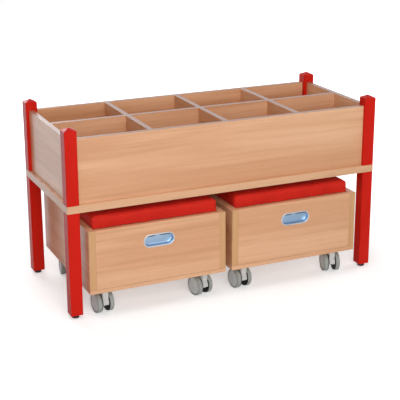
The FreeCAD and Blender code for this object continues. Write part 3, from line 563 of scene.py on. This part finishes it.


# The metal is bluer inside the cup. Two strips close under the lip, left and right of the middle, are
# painted shade: the lip's shadow drawn darker into the metal's colour.
def handleMaterial(side):
    look = handleLook
    low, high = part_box(side + "_handle_shell")
    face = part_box(side + "_box_front_panel")[0].y
    middle = (low.x + high.x) / 2

    def tint(tree, tone):
        ways = objectWays(tree)
        sunk = stretchRange(tree, ways["Y"], face, face + look["cupFade"])
        tone = blendColours(tree, sunk, tone, paint(*look["cup"]))
        aside = calculate(tree, "ABSOLUTE", calculate(tree, "SUBTRACT", ways["X"], middle), 0.0)
        # Painted shade under the lip: the cup is darkened in a strip below the top, more away from the
        # middle.
        edge = high.z - look["shadeHeight"]
        above = stretchRange(tree, ways["Z"], edge - look["shadeSoft"], edge + look["shadeSoft"])
        beside = stretchRange(tree, aside, look["shadeFrom"], look["shadeTo"], 0.0, look["shadeShare"])
        shade = calculate(tree, "MULTIPLY", above, beside)
        return blendColours(tree, calculate(tree, "MULTIPLY", shade, sunk), tone, paint(*look["paintedLipShade"]))

    return brushedMaterial(side + "HandleMetal", look["metal"], look["worn"], look["roughness"], tint)


# The section runs from the middle of the cup's front, over the flange and back to the middle of its rear.
# It is carried round a stadium: half circles of radius r about the two ends, joined by straight stretches.
def makeHandle(side):
    look = handleLook
    node = side + "_handle_shell"
    low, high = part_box(node)
    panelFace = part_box(side + "_box_front_panel")[0].y
    halfWidth = (high.z - low.z) / 2
    straight = (high.x - low.x) / 2 - halfWidth
    centreX, centreZ = (low.x + high.x) / 2, (low.z + high.z) / 2
    cupRadius = halfWidth - look["flangeWidth"]
    floor = high.y - look["wall"]
    section = roundedLine([
        (0, floor - look["floorDish"], 0), (cupRadius * look["dishShare"], floor, look["dishRound"]),
        (cupRadius - look["wall"], floor, look["floorRound"]),
        (cupRadius - look["wall"], low.y, look["lipRound"]),
        (halfWidth, low.y, look["flangeRound"]), (halfWidth, panelFace, 0),
        (cupRadius, panelFace, 0), (cupRadius, high.y, look["floorRound"]), (0, high.y, 0)],
        look["arcSteps"])
    quarter = math.pi / 2
    angles = np.concatenate([np.linspace(-quarter, quarter, look["endSteps"]),
                             np.linspace(quarter, 3 * quarter, look["endSteps"])])
    ends = np.repeat([straight, -straight], look["endSteps"])
    points = np.stack([centreX + ends + section[:, :1] * np.cos(angles),
                       np.repeat(section[:, 1:], len(angles), 1),
                       centreZ + section[:, :1] * np.sin(angles)], -1)
    newPiece(side + "_handle_cup", points, ringFaces(len(section), len(angles)), handleMaterial(side),
             bodyOf[node], [node])


# A Depth is measured inwards from the wheel's outer face. discBack and coreLap are measured outwards
# from the seam between tyre and core.
wheelLook = {
    "shoulder": 0.0036, "innerShoulder": 0.0024, "tyreRim": 0.0318, "tyreDepth": 0.004, "tyreLap": 0.001,
    "hubRadius": 0.0095, "hubDepth": 0.0008, "hubRound": 0.0006, "hubFlare": 0.0006, "hubRise": 0.0008,
    "hubFootRound": 0.0005, "hubThickness": 0.003, "discDepth": 0.0012, "discMargin": 0.0022,
    "discRound": 0.0008, "discLap": 0.0009, "discBack": 0.0004, "groove": 0.0007,
    "domeShare": 0.62, "domeDepth": 0.0009, "domeRound": 0.02,
    "core": 0.003, "coreInset": 0.0012, "coreRound": 0.001, "coreLap": 0.0002,
    "axleRadius": 0.004, "axleDepth": 0.004, "hoodRoom": 0.0015, "hoodArris": 0.0008,
    "steps": 96, "tyreSteps": 8,
}


def rollAxis(node):
    for joint in record["behaviour"]["joints"]:
        if joint["name"] == node + "_roll":
            return np.array(joint["axis"])


# How far a node's points reach along an axis, to either side of a centre.
def reachAlong(node, centre, axis):
    return float(np.abs((readPoints(frame["nodes"][node].data) - centre) @ axis).max())


# A section of (way along the axle, radius) turned about the axle: centre + way * axis
# + r cos a * (the level direction across the axle) + r sin a * up.
def turned(section, centre, axis, steps):
    angles = np.linspace(0, 2 * math.pi, steps, endpoint=False)[:, None]
    across = np.array((-axis[1], axis[0], 0))
    spokes = np.cos(angles) * across + np.sin(angles) * np.array((0, 0, 1))
    ways, radii = section[:, 0, None, None], section[:, 1, None, None]
    return (centre + ways * axis + radii * spokes).reshape(-1, 3)


def turnedPiece(name, sections, centre, material, body, replaced):
    count = wheelLook["steps"]
    points, faces, used = [], [], 0
    for section, axis in sections:
        points.append(turned(section, centre, axis, count))
        faces.append(ringFaces(len(section), count) + used)
        used += len(section) * count
    newPiece(name, np.concatenate(points), np.concatenate(faces), material, body, replaced)


# Each wheel is a grey tyre and disc on a black core that faces the hood. The core's black is painted
# shade: it stands for the shade in the gap between the two wheels.
def makeWheels(side, corner):
    look = wheelLook
    node = "%s_wheels_%s" % (side, corner)
    low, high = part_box(node)
    centre = np.array((low + high) / 2)
    axis = rollAxis(node)
    radius = (high.z - low.z) / 2
    inner = reachAlong("%s_caster_%s" % (side, corner), centre, axis) + look["hoodRoom"]
    outer = reachAlong(node, centre, axis)
    seam = inner + look["core"]
    rim = look["tyreRim"]
    tyreBack, tyreFoot = outer - look["tyreDepth"], rim - look["tyreLap"]
    tyre = roundedLine([
        (tyreBack, tyreFoot, 0), (outer, rim, 0), (outer, radius, look["shoulder"]),
        ((seam + outer) / 2, radius, 0), (seam, radius, look["innerShoulder"]),
        (seam, tyreFoot, 0), (tyreBack, tyreFoot, 0)], look["tyreSteps"])
    hubFace, hubBack = outer - look["hubDepth"], outer - look["hubThickness"]
    discFace, discBack = outer - look["discDepth"], seam + look["discBack"]
    axleRadius = look["axleRadius"]
    disc = roundedLine([
        (hubBack, 0, 0), (hubFace, 0, 0), (hubFace, look["hubRadius"], look["hubRound"]),
        (hubFace - look["hubRise"], look["hubRadius"] + look["hubFlare"], look["hubFootRound"]),
        (outer - look["domeDepth"], rim * look["domeShare"], look["domeRound"]),
        (discFace, rim - look["discMargin"], look["discRound"]),
        (discFace - look["groove"], rim - look["groove"], 0), (discBack, rim - look["discLap"], 0),
        (discBack, axleRadius, 0), (hubBack, axleRadius, 0), (hubBack, 0, 0)])
    coreRadius, coreBack = radius - look["coreInset"], seam + look["coreLap"]
    core = roundedLine([
        (inner, axleRadius, 0), (inner, coreRadius, look["coreRound"]), (coreBack, coreRadius, 0),
        (coreBack, axleRadius, 0), (inner, axleRadius, 0)])
    axleEnd = outer - look["axleDepth"]
    axle = np.array([(-axleEnd, 0), (-axleEnd, axleRadius), (axleEnd, axleRadius), (axleEnd, 0)])
    body = bodyOf[node]
    name = "%s_%s_" % (side, corner)
    turnedPiece(name + "tyres", [(tyre, axis), (tyre, -axis)], centre, greyRubber, body,
                [node])
    turnedPiece(name + "discs", [(disc, axis), (disc, -axis)], centre, greyDisc, body,
                [node])
    # Painted shade: the black cores stand for the shade between the two wheels of a caster.
    turnedPiece(name + "shade_cores", [(core, axis), (core, -axis), (axle, axis)], centre, blackPlastic, body,
                [node])


def dressCasters(side):
    for corner in corners:
        makeWheels(side, corner)
        hood = "%s_caster_%s" % (side, corner)
        softenedNode(hood, hoodPlastic, wheelLook["hoodArris"])


cushionLook = {
    "voxel": 0.005, "shrink": 0.003, "blockSteps": 60, "smoothing": 0.5, "smoothPasses": 1,
    "pressure": 4.0, "frames": 20, "reach": 0.0045, "fill": 0.85,
    "quality": 6, "stretchStiffness": 30, "shearStiffness": 12, "bendStiffness": 1.5,
    "plump": (0.0115, 0.001, 0.0), "cornerRound": 0.015, "edgeRound": 0.008, "crown": 0.003,
    "skirtRoom": 0.0003, "skirtFade": 0.004, "skirtInner": 0.93, "skirtOuter": 0.97,
}


def useModifier(piece, modifier):
    with bpy.context.temp_override(object=piece, active_object=piece, selected_objects=[piece]):
        bpy.ops.object.modifier_apply(modifier=modifier.name)


# A block with rounded edges, from a closed ball of points: each point of the ball, (cos a cos b,
# sin a cos b, sin b), is pushed out to the cube, and from there pulled in by the edge's radius.
def roundedBlock(half, radius, steps):
    around = np.linspace(-math.pi, math.pi, 4 * steps, endpoint=False)
    upward = np.linspace(-math.pi / 2, math.pi / 2, 2 * steps + 1)[:, None]
    ball = np.stack([np.cos(around) * np.cos(upward), np.sin(around) * np.cos(upward),
                     np.sin(upward) * np.ones_like(around)], -1)
    cube = ball / np.abs(ball).max(-1, keepdims=True) * half
    core = np.clip(cube, radius - half, half - radius)
    away = cube - core
    return core + radius * away / np.maximum(np.linalg.norm(away, axis=-1, keepdims=True), tiny)


# Rounds the corners in plan: a point beyond the corner's quarter circle moves in to it.
def roundedPlan(plan, half, radius):
    core = np.clip(plan, radius - half, half - radius)
    away = plan - core
    reach = np.linalg.norm(away, axis=-1, keepdims=True)
    return core + away * np.minimum(1, radius / np.maximum(reach, tiny))


# Foam under a woven cover: a slightly smaller block is blown up by air pressure, no point moves further
# than reach, and the result stays flat below, where it lies on the seat board.
def makeCushion(side):
    look = cushionLook
    node = side + "_seat_cushion"
    low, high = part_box(node)
    centre = np.array((low + high) / 2)
    outerHalf = np.array((high - low) / 2) + look["plump"]
    half = outerHalf - look["shrink"]
    block = roundedBlock(half, look["edgeRound"], look["blockSteps"])
    block[..., :2] = roundedPlan(block[..., :2], half[:2], look["cornerRound"])
    block += centre
    mesh = bpy.data.meshes.new(side + "_cushion")
    mesh.from_pydata(block.reshape(-1, 3).tolist(), [], ringFaces(*block.shape[:2]).tolist())
    cushion = bpy.data.objects.new(side + "_cushion", mesh)
    bpy.context.scene.collection.objects.link(cushion)
    bpy.context.view_layer.objects.active = cushion
    weld = cushion.modifiers.new("Weld", "WELD")
    useModifier(cushion, weld)
    remesh = cushion.modifiers.new("Remesh", "REMESH")
    remesh.mode = "VOXEL"
    remesh.voxel_size = look["voxel"]
    useModifier(cushion, remesh)
    soften = cushion.modifiers.new("Soften", "SMOOTH")
    soften.factor = look["smoothing"]
    soften.iterations = look["smoothPasses"]
    useModifier(cushion, soften)
    blowUp(cushion)
    finer = cushion.modifiers.new("Finer", "SUBSURF")
    finer.levels = finer.render_levels = 1
    useModifier(cushion, finer)
    settled = readPoints(cushion.data)
    settled = crowned(np.clip(settled, centre - outerHalf, centre + outerHalf), centre, outerHalf)
    settled = spreadSkirt(settled, side)
    cushion.data.vertices.foreach_set("co", settled.ravel())
    cushion.data.update()
    cushion.data.shade_smooth()
    cushion.data.materials.clear()
    cushion.data.materials.append(redCover)
    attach(cushion, bodyOf[node])
    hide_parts(node)


# The top falls away towards its edges: crown times the cube of the share of the way out from the middle,
# in full at the top and fading to nothing at the bottom.
def crowned(points, centre, half):
    share = np.abs((points[:, :2] - centre[:2]) / half[:2]).max(1)
    height = (points[:, 2] - centre[2] + half[2]) / (2 * half[2])
    return points - np.outer(share ** 3 * height, (0, 0, cushionLook["crown"]))


# The lower edge spreads to the box's panels: below the rim each point of the sides moves out from the
# middle until it lies skirtRoom from a panel. This fades out above the rim and towards the middle.
def spreadSkirt(points, side):
    look = cushionLook
    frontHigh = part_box(side + "_box_front_panel")[1]
    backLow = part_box(side + "_box_back_panel")[0]
    wallLeft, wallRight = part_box(side + "_box_left_panel")[1].x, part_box(side + "_box_right_panel")[0].x
    middle = np.array((wallLeft + wallRight, frontHigh.y + backLow.y)) / 2
    room = np.array((wallRight - wallLeft, backLow.y - frontHigh.y)) / 2 - look["skirtRoom"]
    plan = points[:, :2] - middle
    share = np.abs(plan / room).max(1)
    nearSide = np.clip((share - look["skirtInner"]) / (look["skirtOuter"] - look["skirtInner"]), 0, 1)
    belowRim = np.clip(1 - (points[:, 2] - frontHigh.z) / look["skirtFade"], 0, 1)
    grow = 1 + nearSide * belowRim * (1 / np.maximum(share, look["skirtInner"]) - 1)
    return np.column_stack([middle + plan * grow[:, None], points[:, 2]])


# The cover is stepped as cloth under pressure, with no gravity. Each point keeps the way that it moved,
# shortened to reach where it is longer.
def blowUp(cushion):
    look = cushionLook
    before = readPoints(cushion.data)
    cloth = cushion.modifiers.new("Cloth", "CLOTH")
    settings = cloth.settings
    settings.quality = look["quality"]
    settings.use_pressure = True
    settings.uniform_pressure_force = look["pressure"]
    settings.tension_stiffness = settings.compression_stiffness = look["stretchStiffness"]
    settings.shear_stiffness = look["shearStiffness"]
    settings.bending_stiffness = look["bendStiffness"]
    settings.effector_weights.gravity = 0
    scene = bpy.context.scene
    cloth.point_cache.frame_start = 1
    cloth.point_cache.frame_end = look["frames"]
    for number in range(1, look["frames"] + 1):
        scene.frame_set(number)
    shaped = cushion.evaluated_get(bpy.context.evaluated_depsgraph_get()).to_mesh()
    after = readPoints(shaped)
    cushion.modifiers.remove(cloth)
    scene.frame_set(1)
    moved = after - before
    length = np.linalg.norm(moved, axis=1, keepdims=True)
    moved *= np.minimum(1, look["reach"] / np.maximum(length, tiny))
    cushion.data.vertices.foreach_set("co", (before + moved).ravel())
    cushion.data.update()


cameraLook = {
    "eye": (-1.6655, -3.6808, 1.6313), "yaw": 24.879, "pitch": -17.084, "focalPixels": 1093.65,
    "shift": (-0.03, -0.06), "pictureWidth": 400, "sensor": 36.0,
}


def makeCamera():
    look = cameraLook
    camera = bpy.data.objects.new("camera", bpy.data.cameras.new("camera"))
    bpy.context.scene.collection.objects.link(camera)
    camera.location = look["eye"]
    camera.rotation_euler = Euler((math.radians(90 + look["pitch"]), 0, math.radians(-look["yaw"])))
    camera.data.sensor_width = look["sensor"]
    camera.data.lens = look["focalPixels"] / look["pictureWidth"] * look["sensor"]
    camera.data.shift_x, camera.data.shift_y = look["shift"]
    bpy.context.scene.camera = camera


lightLook = {
    "key": {"place": (-0.9, -4.7, 1.9), "size": 3.8, "power": 137.0},
    "top": {"place": (-0.8, -1.0, 3.4), "size": 2.4, "power": 35.0},
    "back": {"place": (-0.6, 3.6, 2.35), "size": 2.6, "power": 62.0},
    "side": {"place": (3.8, 0.8, 1.9), "size": 2.8, "power": 30.0},
    "aim": (0, 0, 0.35), "horizon": 0.38, "zenith": 0.16, "zenithFrom": 0.7,
    "leftShare": 0.3, "leftReach": (-0.8, 0.2),       # the left of the room is darker
    "aheadShare": 0.3, "aheadReach": (-0.5, 0.2),     # and so is what gloss shows of its front
    "glossTint": (0.9, 0.88, 1.0, 1),
    "floorTone": (0.86, 0.86, 0.86, 1), "floorRoughness": 0.9, "floorGloss": 0.5,
    "floorAheadReach": (-0.6, 0.8), "floorSize": 14.0, "floorLift": 0.45,
    "shadowReach": 0.7, "fadeReach": 1.7,
}


# Gloss shows a white room behind the object and a dimmer one in front of it.
def glossyShare(tree, glossy, way, near, far, ahead, behind):
    return calculate(tree, "MULTIPLY", glossy, stretchRange(tree, way, near, far, ahead, behind))


# White, or in a reflection the faint lilac of the studio's walls.
def glossColour(tree, rays):
    return blendColours(tree, rays["Is Glossy Ray"], (1, 1, 1, 1), lightLook["glossTint"])


def makeLights():
    look = lightLook
    for name in ("key", "top", "back", "side"):
        lamp = bpy.data.lights.new(name, "AREA")
        lamp.shape = "DISK"
        lamp.size = look[name]["size"]
        lamp.energy = look[name]["power"]
        holder = bpy.data.objects.new(name, lamp)
        bpy.context.scene.collection.objects.link(holder)
        holder.location = look[name]["place"]
        aim = Vector(look["aim"]) - holder.location
        holder.rotation_euler = aim.to_track_quat("-Z", "Y").to_euler()
    world = bpy.data.worlds.new("studio")
    bpy.context.scene.world = world
    world.use_nodes = True
    tree = world.node_tree
    background = tree.nodes["Background"]
    rays = addNode(tree, "ShaderNodeLightPath").outputs
    direction = addNode(tree, "ShaderNodeTexCoord").outputs["Generated"]
    ways = addNode(tree, "ShaderNodeSeparateXYZ", {"Vector": direction}).outputs
    ambient = stretchRange(tree, ways["Z"], 0.0, look["zenithFrom"], look["horizon"], look["zenith"])
    fromLeft = stretchRange(tree, ways["X"], *look["leftReach"], look["leftShare"], 1.0)
    ambient = calculate(tree, "MULTIPLY", ambient, fromLeft)
    seen = calculate(tree, "MAXIMUM", rays["Is Camera Ray"], rays["Is Transmission Ray"])
    glossy = rays["Is Glossy Ray"]
    glossy = glossyShare(tree, glossy, ways["Y"], *look["aheadReach"], look["aheadShare"], 1.0)
    seen = calculate(tree, "MAXIMUM", seen, glossy)
    tree.links.new(calculate(tree, "MAXIMUM", seen, ambient), background.inputs["Strength"])
    tree.links.new(glossColour(tree, rays), background.inputs["Color"])


# The floor is matt white. Seen by the camera or in a reflection it is lifted a little, and more with
# the distance from the object, so that only the object's shadow stands out from the background.
def makeFloor():
    look = lightLook
    half = look["floorSize"] / 2
    floorCorners = [(-half, -half, 0), (half, -half, 0), (half, half, 0), (-half, half, 0)]
    mesh = bpy.data.meshes.new("floor")
    mesh.from_pydata(floorCorners, [], [(0, 1, 2, 3)])
    floor = bpy.data.objects.new("floor", mesh)
    bpy.context.scene.collection.objects.link(floor)
    sockets = {"Roughness": look["floorRoughness"], "Base Color": look["floorTone"]}
    material, tree, shader = newMaterial("floorWhite", sockets)
    rays = addNode(tree, "ShaderNodeLightPath").outputs
    tree.links.new(glossColour(tree, rays), shader.inputs["Emission Color"])
    coordinates = addNode(tree, "ShaderNodeTexCoord").outputs["Object"]
    ahead = addNode(tree, "ShaderNodeSeparateXYZ", {"Vector": coordinates}).outputs["Y"]
    glossy = rays["Is Glossy Ray"]
    glossy = glossyShare(tree, glossy, ahead, *look["floorAheadReach"], 0.0, look["floorGloss"])
    seen = calculate(tree, "MAXIMUM", rays["Is Camera Ray"], glossy)
    lengthNode = addNode(tree, "ShaderNodeVectorMath", {0: coordinates}, operation="LENGTH")
    distance = lengthNode.outputs["Value"]
    lift = stretchRange(tree, distance, look["shadowReach"], look["fadeReach"], look["floorLift"], 1.0)
    tree.links.new(calculate(tree, "MULTIPLY", seen, lift), shader.inputs["Emission Strength"])
    mesh.materials.append(material)


makeCamera()
makeLights()
makeFloor()
print("stage: camera, light and floor")
dressTrough()
makeGlides()
print("stage: trough dressed")
for index, side in enumerate(sides):
    dressBox(side, index)
    makeHandle(side)
    dressCasters(side)
    makeCushion(side)
    print("stage:", side, "box dressed")

bpy.context.scene.view_settings.view_transform = "Standard"
